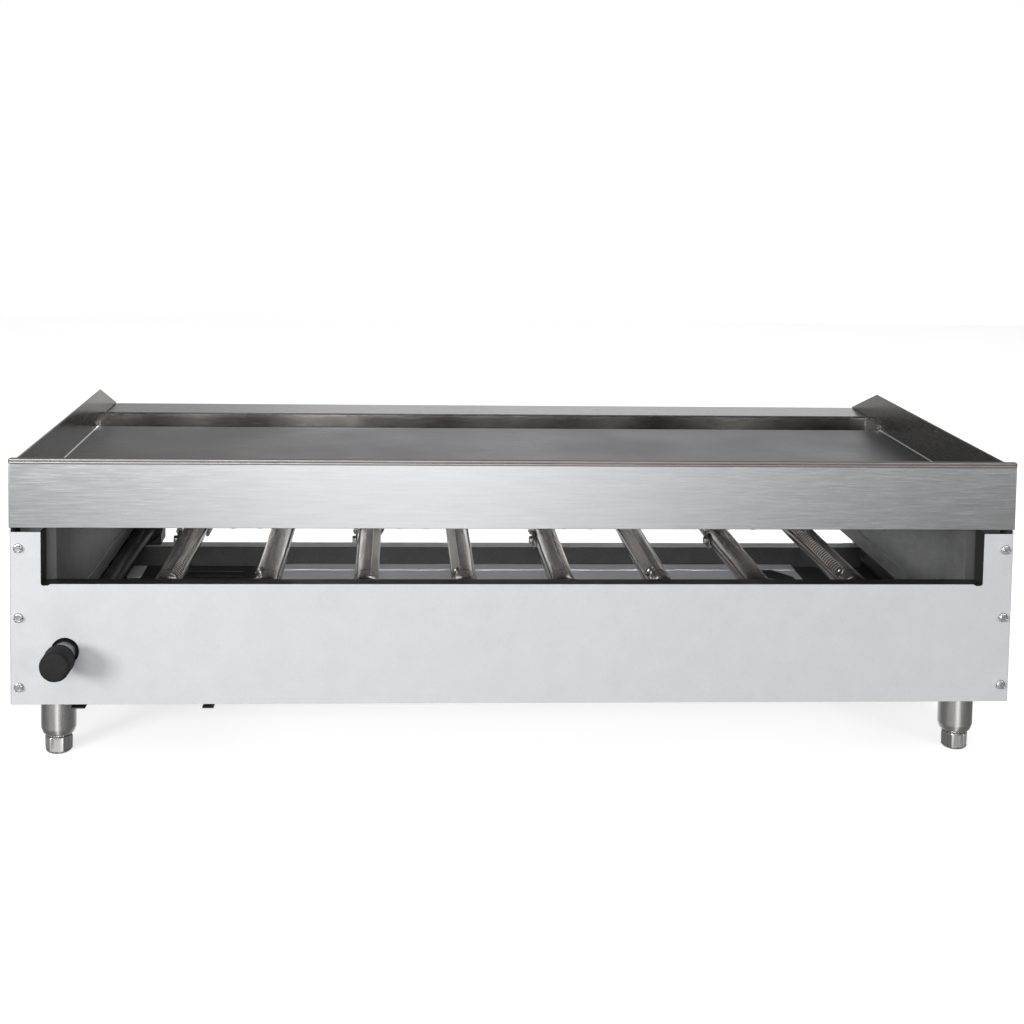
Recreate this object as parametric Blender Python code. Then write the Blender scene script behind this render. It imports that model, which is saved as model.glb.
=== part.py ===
"""Countertop gas griddle, 48 in wide, built as separate closed parts.

Metres, +Z up, origin on the floor under the middle of the bounding box.
The operator stands at -Y and faces +Y, so the back of the griddle faces +Y.
Depths below are measured forward from the rear face: y = REAR_Y - depth.
"""
import math

import bmesh
import bpy
from mathutils import Matrix, Vector

# ---------------------------------------------------------------- dimensions
REAR_Y = 0.334          # rear face of the body and of the rear splash
HALF_W = 0.6096         # half of the 48 in width
SHEET = 0.0015          # body sheet thickness

LEG_TOP_Z = 0.0767
BASE_Z = 0.0770         # underside of the body
SILL_Z = 0.2240         # lower edge of the rear flue opening
PANEL_TOP_Z = 0.2870
SKIRT_Z = 0.2920        # lower edge of the splash band
PLATE_Z0 = 0.2970
PLATE_Z1 = 0.3160       # cooking surface
LEDGE_Z = 0.3255
GUARD_Z = 0.3685        # top of the side splashes
TOP_Z = 0.3760          # top of the rear hem

PLATE_D = 0.5440        # depth of the plate's front edge
TROUGH_D = 0.6130       # depth of the trough's front wall
GUARD_D = 0.5680        # where the side splashes start to slope down
LEDGE_D = 0.7000        # front edge of the ledge
PANEL_D = 0.6900        # face of the control panel
RAIL_D = 0.6200         # rear face of the low front rail

OPEN_HALF = 0.5720      # half width of the rear flue opening
LINER_X = 0.5600        # inner face of the firebox side walls
LINER_Z = 0.1480        # their lower edge

BURNER_PITCH = 0.2490
LEG_SPACING = 0.1248    # between the two legs of one burner
BURNER_Z = 0.1990
TUBE_R = 0.0160
CROSS_D = 0.0520        # depth of the cross tube that joins a burner's legs at the rear
CORNER_R = 0.0220       # bend radius where the legs turn into the cross tube
HEADER_D = 0.4550
SHUTTER_D = 0.5980

VALVE_D = 0.6540
MANIFOLD_Z = 0.1750
MANIFOLD_D = 0.6500
GAS_X = 0.5440
GAS_Z = 0.1420

LEG_X = 0.5630
LEG_D = (0.0550, 0.5600)
LEG_R = 0.02135
DRAWER_X = (0.3850, 0.5220)
DRAWER_D = (0.3800, 0.6860)
DRAWER_Z = (0.0400, 0.0762)

SCREW_X = 0.5985
SCREW_Z = (0.0985, 0.1830, 0.2675)
BURNERS = tuple((i - 1.5) * BURNER_PITCH for i in range(4))

# ------------------------------------------------------------------ materials
COLOURS = {
    "plate_steel": ((0.30, 0.30, 0.31), 0.9, 0.38),
    "stainless": ((0.62, 0.62, 0.61), 1.0, 0.28),
    "rear_sheet": ((0.62, 0.63, 0.65), 0.6, 0.45),
    "liner_sheet": ((0.36, 0.37, 0.38), 0.8, 0.50),
    "black_steel": ((0.03, 0.03, 0.03), 0.2, 0.55),
    "pan_sheet": ((0.42, 0.42, 0.44), 0.7, 0.45),
    "burner_steel": ((0.28, 0.26, 0.24), 0.9, 0.40),
    "fitting_grey": ((0.25, 0.25, 0.25), 0.8, 0.50),
    "brass": ((0.70, 0.55, 0.25), 1.0, 0.35),
    "black_plastic": ((0.02, 0.02, 0.02), 0.0, 0.45),
    "soft_cap": ((0.02, 0.02, 0.02), 0.0, 0.60),
    "zinc_screw": ((0.70, 0.70, 0.70), 1.0, 0.30),
}


def material(name):
    mat = bpy.data.materials.get(name)
    if mat is None:
        colour, metallic, rough = COLOURS[name]
        mat = bpy.data.materials.new(name)
        mat.use_nodes = True
        shader = mat.node_tree.nodes["Principled BSDF"]
        shader.inputs["Base Color"].default_value = (*colour, 1.0)
        shader.inputs["Metallic"].default_value = metallic
        shader.inputs["Roughness"].default_value = rough
    return mat


# -------------------------------------------------------------------- helpers
def y_at(depth):
    return REAR_Y - depth


def mesh_object(name, verts, faces, smooth=False):
    bm = bmesh.new()
    made = [bm.verts.new(v) for v in verts]
    for face in faces:
        bm.faces.new([made[i] for i in face])
    bmesh.ops.remove_doubles(bm, verts=bm.verts, dist=1e-7)
    bmesh.ops.recalc_face_normals(bm, faces=bm.faces)
    mesh = bpy.data.meshes.new(name)
    bm.to_mesh(mesh)
    bm.free()
    obj = bpy.data.objects.new(name, mesh)
    PARTS.objects.link(obj)
    if smooth:
        soften(obj)
    return obj


def soften(obj, angle=35.0):
    """Smooth shading on the round faces, with the sharp edges kept sharp."""
    bm = bmesh.new()
    bm.from_mesh(obj.data)
    for face in bm.faces:
        face.smooth = True
    for edge in bm.edges:
        if len(edge.link_faces) == 2:
            edge.smooth = edge.calc_face_angle(0.0) < math.radians(angle)
    bm.to_mesh(obj.data)
    bm.free()


def prism(name, points, axis, start, end):
    """Extrude an outline. The outline is (depth, z) along X, (x, z) along the
    depth, or (x, depth) along Z."""
    verts = []
    for level in (start, end):
        for a, b in points:
            if axis == "x":
                verts.append((level, y_at(a), b))
            elif axis == "d":
                verts.append((a, y_at(level), b))
            else:
                verts.append((a, y_at(b), level))
    n = len(points)
    faces = [list(range(n)), list(range(n, 2 * n))]
    for i in range(n):
        j = (i + 1) % n
        faces.append([i, j, n + j, n + i])
    return mesh_object(name, verts, faces)


def box(name, x, depth, z):
    outline = [(x[0], z[0]), (x[1], z[0]), (x[1], z[1]), (x[0], z[1])]
    return prism(name, outline, "d", depth[0], depth[1])


def ring(radius, count, hexagon):
    points = []
    for k in range(count):
        angle = 2.0 * math.pi * k / count
        r = radius
        if hexagon:
            r = radius * math.cos(math.pi / 6.0) / math.cos((angle % (math.pi / 3.0)) - math.pi / 6.0)
        points.append((r * math.cos(angle), r * math.sin(angle)))
    return points


def turned(name, centre, axis, profile, count=24):
    """Stack rings along an axis. The profile lists (distance, radius) or
    (distance, radius, "hex"), and a radius of 0 closes the end."""
    rot = Vector((0.0, 0.0, 1.0)).rotation_difference(Vector(axis)).to_matrix()
    base = Vector(centre)
    verts = []
    rows = []
    for step in profile:
        height, radius = step[0], step[1]
        if radius == 0.0:
            rows.append([len(verts)])
            verts.append(base + rot @ Vector((0.0, 0.0, height)))
            continue
        row = []
        for u, v in ring(radius, count, len(step) > 2):
            row.append(len(verts))
            verts.append(base + rot @ Vector((u, v, height)))
        rows.append(row)
    faces = []
    closed = len(rows[0]) > 1
    pairs = list(zip(rows, rows[1:]))
    if closed:
        pairs.append((rows[-1], rows[0]))
    for low, high in pairs:
        for k in range(count):
            m = (k + 1) % count
            if len(low) == 1:
                faces.append([low[0], high[m], high[k]])
            elif len(high) == 1:
                faces.append([low[k], low[m], high[0]])
            else:
                faces.append([low[k], low[m], high[m], high[k]])
    return mesh_object(name, verts, faces, smooth=True)


def tube(name, path, radius, count=16):
    """Sweep a round bar along a path of points."""
    points = [Vector(p) for p in path]
    verts = []
    rows = []
    side = None
    for i, point in enumerate(points):
        before = (point - points[i - 1]).normalized() if i else None
        after = (points[i + 1] - point).normalized() if i + 1 < len(points) else None
        tangent = (before or after) if not (before and after) else (before + after).normalized()
        if side is None:
            side = tangent.orthogonal().normalized()
        side = (side - tangent * side.dot(tangent)).normalized()
        other = tangent.cross(side)
        stretch = 1.0
        if before and after:
            stretch = 1.0 / max(0.5, math.cos(before.angle(after) / 2.0))
            bend = (after - before)
            bend = bend.normalized() if bend.length > 1e-9 else side
        row = []
        for k in range(count):
            angle = 2.0 * math.pi * k / count
            offset = (side * math.cos(angle) + other * math.sin(angle)) * radius
            if stretch > 1.0:
                offset += bend * offset.dot(bend) * (stretch - 1.0)
            row.append(len(verts))
            verts.append(point + offset)
        rows.append(row)
    faces = [rows[0], rows[-1]]
    for low, high in zip(rows, rows[1:]):
        for k in range(count):
            m = (k + 1) % count
            faces.append([low[k], low[m], high[m], high[k]])
    return mesh_object(name, verts, faces, smooth=True)


def combine(obj, other, operation):
    mod = obj.modifiers.new("combine", "BOOLEAN")
    mod.operation = operation
    mod.solver = "EXACT"
    mod.object = other
    bpy.context.view_layer.update()
    graph = bpy.context.evaluated_depsgraph_get()
    result = bpy.data.meshes.new_from_object(obj.evaluated_get(graph))
    obj.modifiers.clear()
    old = obj.data
    obj.data = result
    result.name = obj.name
    bpy.data.meshes.remove(old)
    bpy.data.objects.remove(other, do_unlink=True)
    bm = bmesh.new()
    bm.from_mesh(obj.data)
    bmesh.ops.remove_doubles(bm, verts=bm.verts, dist=1e-6)
    bmesh.ops.dissolve_degenerate(bm, edges=bm.edges, dist=1e-6)
    bm.to_mesh(obj.data)
    bm.free()
    return obj


def add(obj, *others):
    for other in others:
        combine(obj, other, "UNION")
    return obj


def cut(obj, *others):
    for other in others:
        combine(obj, other, "DIFFERENCE")
    return obj


def finish(obj, slot, smooth=False):
    obj.data.materials.clear()
    obj.data.materials.append(material(slot))
    if smooth:
        soften(obj)
    return obj


def mirrored(outline, side):
    return [(side * x, z) for x, z in outline]


# ----------------------------------------------------------- cooking surface
def make_top():
    plate = prism("griddle_plate",
                  [(0.0032, PLATE_Z0), (PLATE_D, PLATE_Z0), (PLATE_D, PLATE_Z1 - 0.002),
                   (PLATE_D - 0.002, PLATE_Z1), (0.0032, PLATE_Z1)],
                  "x", -0.6062, 0.6062)
    finish(plate, "plate_steel")

    band = prism("splash_rear",
                 [(0.0000, SKIRT_Z), (0.0000, GUARD_Z), (-0.0010, GUARD_Z + 0.0012),
                  (-0.0012, TOP_Z - 0.0016), (0.0002, TOP_Z), (0.0034, TOP_Z),
                  (0.0046, TOP_Z - 0.0014), (0.0046, GUARD_Z + 0.0014), (0.0025, GUARD_Z),
                  (0.0025, SKIRT_Z + 0.0020), (0.0130, SKIRT_Z + 0.0020), (0.0130, SKIRT_Z)],
                 "x", -HALF_W, HALF_W)
    finish(band, "stainless")

    outline = [(0.0030, SKIRT_Z + 0.0024), (0.0135, SKIRT_Z + 0.0024), (0.0135, SKIRT_Z),
               (LEDGE_D - 0.0100, SKIRT_Z),
               (LEDGE_D, 0.2960), (LEDGE_D, LEDGE_Z + 0.0015), (GUARD_D, GUARD_Z),
               (0.0052, GUARD_Z), (0.0052, GUARD_Z - 0.0015), (0.0030, GUARD_Z - 0.0015)]
    for side, name in ((-1, "splash_left"), (1, "splash_right")):
        guard = prism(name, outline, "x", side * 0.6071, side * HALF_W)
        finish(guard, "stainless")

    trough = box("grease_trough", (-0.6062, 0.6062), (0.5446, TROUGH_D + 0.0016),
                 (0.2600, LEDGE_Z - 0.0023))
    chute_at = (0.4550, y_at(0.5670), 0.0)
    chute = turned("chute", chute_at, (0, 0, 1), [(0.2320, 0.0), (0.2320, 0.0200),
                                                  (0.2608, 0.0200), (0.2608, 0.0)])
    add(trough, chute)
    hollow = box("hollow", (-0.6046, 0.6046), (0.5462, TROUGH_D), (0.2616, 0.3400))
    step = box("step", (-0.6200, 0.6200), (0.5400, 0.5470), (0.3135, 0.3400))
    bore = turned("bore", chute_at, (0, 0, 1), [(0.2200, 0.0), (0.2200, 0.0180),
                                                (0.2700, 0.0180), (0.2700, 0.0)])
    cut(trough, hollow, step, bore)
    finish(trough, "stainless")

    ledge = prism("front_ledge",
                  [(TROUGH_D, LEDGE_Z), (LEDGE_D, LEDGE_Z), (LEDGE_D, 0.2950), (0.6904, 0.2950),
                   (0.6904, 0.2968), (LEDGE_D - 0.0018, 0.2968), (LEDGE_D - 0.0018, 0.3237),
                   (TROUGH_D, 0.3237)],
                  "x", -0.6062, 0.6062)
    finish(ledge, "stainless")


# --------------------------------------------------------------------- cabinet
def make_cabinet():
    outline = [(-0.6075, BASE_Z), (0.6075, BASE_Z), (0.6075, PANEL_TOP_Z), (OPEN_HALF, PANEL_TOP_Z),
               (OPEN_HALF, SILL_Z), (0.5706, 0.2226), (0.5690, 0.2221), (0.5640, 0.2221),
               (0.5624, 0.2226), (0.5610, SILL_Z), (-0.5610, SILL_Z), (-0.5624, 0.2226),
               (-0.5640, 0.2221), (-0.5690, 0.2221), (-0.5706, 0.2226), (-OPEN_HALF, SILL_Z),
               (-OPEN_HALF, PANEL_TOP_Z), (-0.6075, PANEL_TOP_Z)]
    panel = prism("rear_panel", outline, "d", 0.0, SHEET)
    add(panel, box("flange", (-0.5880, 0.5880), (0.0008, 0.0170), (BASE_Z, BASE_Z + SHEET)))
    gas_hole = turned("gas_hole", (GAS_X, y_at(-0.01), GAS_Z), (0, -1, 0),
                      [(0.0, 0.0), (0.0, 0.0168), (0.02, 0.0168), (0.02, 0.0)])
    cut(panel, gas_hole)
    for x in (-SCREW_X, SCREW_X):
        for z in SCREW_Z:
            cut(panel, turned("hole", (x, y_at(-0.01), z), (0, -1, 0),
                              [(0.0, 0.0), (0.0, 0.0024), (0.02, 0.0024), (0.02, 0.0)], 12))
    finish(panel, "rear_sheet")

    frame = prism("opening_frame",
                  [(-0.5735, PANEL_TOP_Z), (-0.5735, 0.2203), (0.5735, 0.2203),
                   (0.5735, PANEL_TOP_Z), (OPEN_HALF, PANEL_TOP_Z), (OPEN_HALF, 0.2218),
                   (-OPEN_HALF, 0.2218), (-OPEN_HALF, PANEL_TOP_Z)],
                  "d", 0.0018, 0.0310)
    finish(frame, "black_steel")

    side_outline = [(0.0030, BASE_Z), (0.0030, 0.2905), (0.6895, 0.2905), (0.6895, 0.1290),
                    (0.6560, BASE_Z)]
    for side, name in ((-1, "side_panel_left"), (1, "side_panel_right")):
        wall = prism(name, side_outline, "x", side * 0.6075, side * 0.6090)
        flange = box("flange", (min(side * 0.5850, side * 0.6082), max(side * 0.5850, side * 0.6082)),
                     (0.0030, 0.0045), (0.0860, 0.2850))
        add(wall, flange)
        for z in SCREW_Z:
            cut(wall, turned("hole", (side * SCREW_X, y_at(-0.01), z), (0, -1, 0),
                             [(0.0, 0.0), (0.0, 0.0024), (0.02, 0.0024), (0.02, 0.0)], 12))
        finish(wall, "stainless")

    hem = LINER_X - 0.0012
    liner_outline = [(hem, LINER_Z), (hem, LINER_Z + 0.0215), (LINER_X, LINER_Z + 0.0220),
                     (LINER_X, 0.2960), (LINER_X + 0.0012, 0.2960), (LINER_X + 0.0012, LINER_Z)]
    for side, name in ((-1, "liner_left"), (1, "liner_right")):
        wall = prism(name, mirrored(liner_outline, side), "d", 0.0315, 0.6080)
        ends = sorted((side * (LINER_X + 0.0006), side * 0.6035))
        add(wall, box("flange", ends, (0.0315, 0.0327), (LINER_Z, 0.2890)))
        span = sorted((side * (LINER_X - 0.0100), side * (LINER_X + 0.0100)))
        cut(wall, box("trough_clearance", span, (0.5430, 0.6200), (0.2590, 0.3000)))
        finish(wall, "liner_sheet")

    front = prism("control_panel",
                  [(PANEL_D, 0.1300), (PANEL_D, 0.2930), (0.6700, 0.2930), (0.6700, 0.2915),
                   (0.6885, 0.2915), (0.6885, 0.1315), (0.6700, 0.1315), (0.6700, 0.1300)],
                  "x", -0.6060, 0.6060)
    for x in BURNERS:
        cut(front, turned("hole", (x, y_at(0.6800), BURNER_Z), (0, -1, 0),
                          [(0.0, 0.0), (0.0, 0.0110), (0.02, 0.0110), (0.02, 0.0)], 20))
    finish(front, "stainless")

    rail = prism("front_rail",
                 [(RAIL_D, BASE_Z), (RAIL_D, 0.1090), (0.6480, 0.1090), (0.6480, 0.1075),
                  (RAIL_D + SHEET, 0.1075), (RAIL_D + SHEET, BASE_Z + SHEET),
                  (0.6400, BASE_Z + SHEET), (0.6400, BASE_Z)],
                 "x", -0.6030, 0.6030)
    finish(rail, "black_steel")

    # The floor pan steps up a little near its front edge.
    pan = prism("floor_pan",
                [(0.0185, 0.0785), (0.5860, 0.0785), (0.5880, 0.0800), (0.6185, 0.0800),
                 (0.6185, 0.0812), (0.5876, 0.0812), (0.5856, 0.0797), (0.0185, 0.0797)],
                "x", -0.4900, 0.3650)
    finish(pan, "pan_sheet")

    base = prism("base_left",
                 [(-0.6060, BASE_Z), (-0.6060, 0.0900), (-0.6048, 0.0900), (-0.6048, 0.0782),
                  (-0.4700, 0.0782), (-0.4700, BASE_Z)],
                 "d", 0.0185, 0.6185)
    add(base, box("upstand", (-0.6060, -0.5050), (0.6173, 0.6185), (BASE_Z, 0.1085)))
    finish(base, "black_steel")

    base = prism("base_right",
                 [(0.6060, BASE_Z), (0.6060, 0.0900), (0.6048, 0.0900), (0.6048, 0.0782),
                  (0.5395, 0.0782), (0.5395, 0.0665), (0.5240, 0.0665), (0.5240, 0.0650),
                  (0.5410, 0.0650), (0.5410, BASE_Z)],
                 "d", 0.0185, 0.6185)
    add(base, box("upstand", (0.5694, 0.6060), (0.6173, 0.6185), (BASE_Z, 0.1350)),
        box("floor", (0.3725, 0.5400), (0.0185, 0.6185), (BASE_Z, 0.0782)))
    cut(base, box("grease_hole", (0.3880, 0.5200), (0.5450, 0.5862), (0.0700, 0.0850)))
    finish(base, "black_steel")

    rail = prism("drawer_rail",
                 [(0.3400, BASE_Z), (0.3690, BASE_Z), (0.3690, 0.0650), (0.3830, 0.0650),
                  (0.3830, 0.0665), (0.3705, 0.0665), (0.3705, 0.0782), (0.3400, 0.0782)],
                 "d", 0.0185, 0.6185)
    add(rail, turned("nut", (0.3600, y_at(0.0300), 0.0), (0, 0, 1),
                     [(0.0730, 0.0), (0.0730, 0.0045, "hex"), (0.0775, 0.0045, "hex"),
                      (0.0775, 0.0)], 12))
    finish(rail, "black_steel")

    for name, depth, z in (("burner_rest_rear", (0.0600, 0.0800), (0.1600, 0.1825)),
                           ("burner_rest_front", (0.5250, 0.5450), (0.1700, 0.1827))):
        finish(box(name, (-0.5582, 0.5582), depth, z), "black_steel")


# ----------------------------------------------------------------------- gas
def make_burner(number, x):
    left = x - LEG_SPACING / 2.0
    right = x + LEG_SPACING / 2.0
    turn = [math.pi * k / 12.0 for k in range(7)]
    bend_y = y_at(CROSS_D + CORNER_R)
    path = [(left, y_at(0.4700), BURNER_Z)]
    path += [(left + CORNER_R * (1.0 - math.cos(a)), bend_y + CORNER_R * math.sin(a), BURNER_Z)
             for a in turn]
    path += [(right - CORNER_R * (1.0 - math.cos(a)), bend_y + CORNER_R * math.sin(a), BURNER_Z)
             for a in reversed(turn)]
    path.append((right, y_at(0.4700), BURNER_Z))
    burner = tube(f"burner_{number}", path, TUBE_R)

    half = LEG_SPACING / 2.0 + 0.0195
    header = box("header", (x - half, x + half), (HEADER_D, 0.4950), (0.1821, 0.2163))
    venturi = turned("venturi", (x, y_at(0.0), BURNER_Z), (0, -1, 0),
                     [(0.4850, 0.0), (0.4850, 0.0145), (0.5000, 0.0145), (0.5250, 0.0125),
                      (0.5450, 0.0125), (0.5800, 0.0150), (0.5900, 0.0170), (0.6180, 0.0170),
                      (0.6180, 0.0140), (0.5950, 0.0140), (0.5880, 0.0)])
    add(burner, header, venturi)
    for offset in (-0.020, 0.020):
        add(burner, turned("boss", (x + offset, y_at(0.4750), 0.0), (0, 0, 1),
                           [(0.1750, 0.0), (0.1750, 0.0055), (0.1850, 0.0055),
                            (0.1850, 0.0)], 12))
    finish(burner, "burner_steel", smooth=True)

    shutter = turned(f"air_shutter_{number}", (x, y_at(0.0), BURNER_Z), (0, -1, 0),
                     [(SHUTTER_D, 0.0173), (SHUTTER_D, 0.0190), (SHUTTER_D + 0.014, 0.0190),
                      (SHUTTER_D + 0.014, 0.0173)])
    add(shutter, box("tab", (x - 0.0030, x + 0.0030), (SHUTTER_D + 0.004, SHUTTER_D + 0.010),
                     (BURNER_Z + 0.0180, BURNER_Z + 0.0270)))
    finish(shutter, "fitting_grey", smooth=True)

    # Pilot bracket beside the burner leg, with its tube up and over to the valve.
    px = right + TUBE_R + 0.0010
    pilot = box(f"pilot_{number}", (px, px + 0.0020), (0.3050, 0.3390), (0.1880, 0.2080))
    line = tube("line", [(px + 0.0012, y_at(0.3340), 0.2050), (px + 0.0012, y_at(0.3660), 0.2050),
                         (px + 0.0012, y_at(0.4000), 0.2500), (x, y_at(0.5100), 0.2500),
                         (x, y_at(0.6540), 0.2500), (x, y_at(0.6540), 0.2154)], 0.0025, 8)
    bolt = turned("bolt", (px + 0.0010, y_at(0.3180), 0.1980), (1, 0, 0),
                  [(0.0, 0.0), (0.0, 0.0052, "hex"), (0.0060, 0.0052, "hex"), (0.0060, 0.0)], 12)
    add(pilot, line, bolt)
    finish(pilot, "fitting_grey", smooth=True)


def make_valve_and_knob(number, x):
    valve = box(f"valve_{number}", (x - 0.0140, x + 0.0140), (0.6400, 0.6680), (0.1888, 0.2150))
    spud = turned("spud", (x, y_at(0.0), BURNER_Z), (0, -1, 0),
                  [(0.6215, 0.0), (0.6215, 0.0045), (0.6240, 0.0060), (0.6450, 0.0060),
                   (0.6450, 0.0)], 16)
    hub = turned("hub", (x, y_at(0.0), BURNER_Z), (0, -1, 0),
                 [(0.6500, 0.0), (0.6500, 0.0090), (0.6840, 0.0090), (0.6840, 0.0045),
                  (0.6600, 0.0045), (0.6600, 0.0)], 16)
    bore = turned("bore", (x, y_at(0.0), BURNER_Z), (0, -1, 0),
                  [(0.6600, 0.0), (0.6600, 0.0045), (0.7000, 0.0045), (0.7000, 0.0)], 16)
    add(valve, spud, hub)
    cut(valve, bore)
    finish(valve, "brass", smooth=True)

    knob = turned(f"knob_{number}", (x, y_at(0.0), BURNER_Z), (0, -1, 0),
                  [(0.6620, 0.0), (0.6620, 0.0040), (0.6940, 0.0040), (0.6940, 0.0250),
                   (0.6950, 0.0262), (0.6990, 0.0262), (0.7010, 0.0240), (0.7100, 0.0225),
                   (0.7115, 0.0205), (0.7115, 0.0)], 32)
    grip = prism("grip", [(x - 0.0060, 0.7050), (x - 0.0060, 0.7260), (x - 0.0045, 0.7280),
                          (x + 0.0045, 0.7280), (x + 0.0060, 0.7260), (x + 0.0060, 0.7050)],
                 "z", BURNER_Z - 0.0210, BURNER_Z + 0.0210)
    add(knob, grip)
    finish(knob, "black_plastic", smooth=True)


def make_gas_line():
    supply = turned("gas_supply_pipe", (GAS_X, y_at(0.0), GAS_Z), (0, -1, 0),
                    [(0.0100, 0.0), (0.0100, 0.01335), (0.6120, 0.01335), (0.6120, 0.0215),
                     (0.6160, 0.0245), (0.6640, 0.0245), (0.6680, 0.0215), (0.6680, 0.0)])
    riser = turned("riser", (GAS_X, y_at(MANIFOLD_D), 0.0), (0, 0, 1),
                   [(GAS_Z, 0.0), (GAS_Z, 0.0175), (0.1990, 0.0175), (0.2010, 0.0155),
                    (0.2010, 0.0)])
    elbow = prism("elbow", [(0.5230, 0.1130), (0.5250, 0.1110), (0.5670, 0.1110), (0.5690, 0.1130),
                            (0.5690, 0.1580), (0.5670, 0.1600), (0.5250, 0.1600),
                            (0.5230, 0.1580)], "d", 0.6200, 0.6660)
    add(supply, riser, elbow)
    finish(supply, "black_steel", smooth=True)

    nipple = turned("inlet_nipple", (GAS_X, y_at(0.0), GAS_Z), (0, -1, 0),
                    [(-0.0500, 0.0), (-0.0500, 0.0120), (-0.0490, 0.0130), (0.0095, 0.0130),
                     (0.0095, 0.0)])
    finish(nipple, "fitting_grey", smooth=True)
    cap = turned("inlet_cap", (GAS_X, y_at(0.0), GAS_Z), (0, -1, 0),
                 [(-0.0600, 0.0), (-0.0600, 0.0150), (-0.0593, 0.0166), (-0.0575, 0.0176),
                  (-0.0550, 0.0179), (-0.0300, 0.0179), (-0.0300, 0.0135), (-0.0508, 0.0135),
                  (-0.0508, 0.0)])
    finish(cap, "soft_cap", smooth=True)

    manifold = turned("gas_manifold", (0.0, y_at(MANIFOLD_D), MANIFOLD_Z), (1, 0, 0),
                      [(-0.4500, 0.0), (-0.4500, 0.0135), (0.5260, 0.0135), (0.5260, 0.0)])
    finish(manifold, "black_steel", smooth=True)


# ----------------------------------------------------- legs, drawer and screws
def make_legs():
    count = 0
    for depth in LEG_D:
        for x in (-LEG_X, LEG_X):
            count += 1
            at = (x, y_at(depth), 0.0)
            leg = turned(f"leg_{count}", at, (0, 0, 1),
                         [(LEG_TOP_Z, 0.0), (LEG_TOP_Z, LEG_R), (0.0310, LEG_R), (0.0280, 0.0208),
                          (0.0245, 0.0190), (0.0225, 0.0165), (0.0214, 0.0150), (0.0214, 0.0070),
                          (0.0620, 0.0070), (0.0620, 0.0)])
            finish(leg, "stainless", smooth=True)
            foot = turned(f"foot_{count}", at, (0, 0, 1),
                          [(0.0000, 0.0), (0.0000, 0.0145), (0.0030, 0.0165, "hex"),
                           (0.0190, 0.0170, "hex"), (0.0206, 0.0150), (0.0206, 0.0065),
                           (0.0550, 0.0065), (0.0560, 0.0050), (0.0560, 0.0)], 12)
            finish(foot, "stainless", smooth=True)


def make_drawer():
    """The grease tray hangs by its side flanges on two rails under the floor."""
    low, high = DRAWER_Z
    drawer = box("grease_drawer", DRAWER_X, DRAWER_D, DRAWER_Z)
    flanges = box("flanges", (0.3715, 0.5385), (DRAWER_D[0] + 0.0200, 0.6150), (0.0668, 0.0680))
    face = box("face", (0.3640, 0.5460), (DRAWER_D[1] - 0.0006, 0.6880), DRAWER_Z)
    grip = box("grip", (0.4050, 0.5050), (0.6870, 0.7080), (0.0540, 0.0620))
    add(drawer, flanges, face, grip)
    hollow = box("hollow", (DRAWER_X[0] + 0.0012, DRAWER_X[1] - 0.0012),
                 (DRAWER_D[0] + 0.0012, DRAWER_D[1] - 0.0012), (low + 0.0012, high + 0.0100))
    finger = box("finger", (0.4130, 0.4970), (0.6880, 0.7010), (0.0450, 0.0700))
    cut(drawer, hollow, finger)
    finish(drawer, "stainless")


def make_screws():
    count = 0
    for x in (-SCREW_X, SCREW_X):
        for z in SCREW_Z:
            count += 1
            screw = turned(f"screw_{count}", (x, y_at(0.0), z), (0, -1, 0),
                           [(-0.0062, 0.0), (-0.0062, 0.0036), (-0.0056, 0.0045, "hex"),
                            (-0.0018, 0.0046, "hex"), (-0.0014, 0.0057), (-0.0003, 0.0058),
                            (-0.0003, 0.0020), (0.0080, 0.0020), (0.0080, 0.0)], 12)
            finish(screw, "zinc_screw", smooth=True)


for old in list(bpy.data.objects):
    bpy.data.objects.remove(old, do_unlink=True)
PARTS = bpy.data.collections.new("flat_top_griddle")
bpy.context.scene.collection.children.link(PARTS)

make_top()
make_cabinet()
make_gas_line()
for index, centre_x in enumerate(BURNERS):
    make_burner(index + 1, centre_x)
    make_valve_and_knob(index + 1, centre_x)
make_legs()
make_drawer()
make_screws()
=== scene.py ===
"""Looks for a 48 in countertop gas griddle, seen from behind.

Metres, +Z up. The back of the griddle faces +Y; depths run forward from it.
"""
import math

import bmesh
import bpy
from mathutils import Matrix, Vector


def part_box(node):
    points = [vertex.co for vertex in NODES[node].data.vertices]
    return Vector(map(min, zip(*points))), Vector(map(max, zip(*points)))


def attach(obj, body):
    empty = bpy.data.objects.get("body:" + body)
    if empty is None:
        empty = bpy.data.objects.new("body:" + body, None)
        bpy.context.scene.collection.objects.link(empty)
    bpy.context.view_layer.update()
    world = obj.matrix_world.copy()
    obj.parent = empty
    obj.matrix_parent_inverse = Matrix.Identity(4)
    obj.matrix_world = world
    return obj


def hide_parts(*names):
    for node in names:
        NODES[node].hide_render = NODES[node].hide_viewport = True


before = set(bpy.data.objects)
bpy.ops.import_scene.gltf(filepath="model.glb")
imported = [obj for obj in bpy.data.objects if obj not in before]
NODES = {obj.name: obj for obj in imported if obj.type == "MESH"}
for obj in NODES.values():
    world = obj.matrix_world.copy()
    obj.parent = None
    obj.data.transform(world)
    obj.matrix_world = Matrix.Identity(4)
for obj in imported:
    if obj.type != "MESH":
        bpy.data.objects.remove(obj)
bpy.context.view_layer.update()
REAR_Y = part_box("rear_panel")[1].y


def y_at(depth):
    """Depths are measured forward from the back of the griddle."""
    return REAR_Y - depth


# --------------------------------------------------------------------- camera
CAMERA_X, CAMERA_DEPTH, CAMERA_Z = 0.1481, -1.8687, 0.7555
CAMERA_TURN = (0.0515, 0.0711, 0.0148)      # yaw, pitch and roll in radians
CAMERA_LENS = 55.35
CAMERA_SHIFT = (0.03, -0.25)


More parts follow.
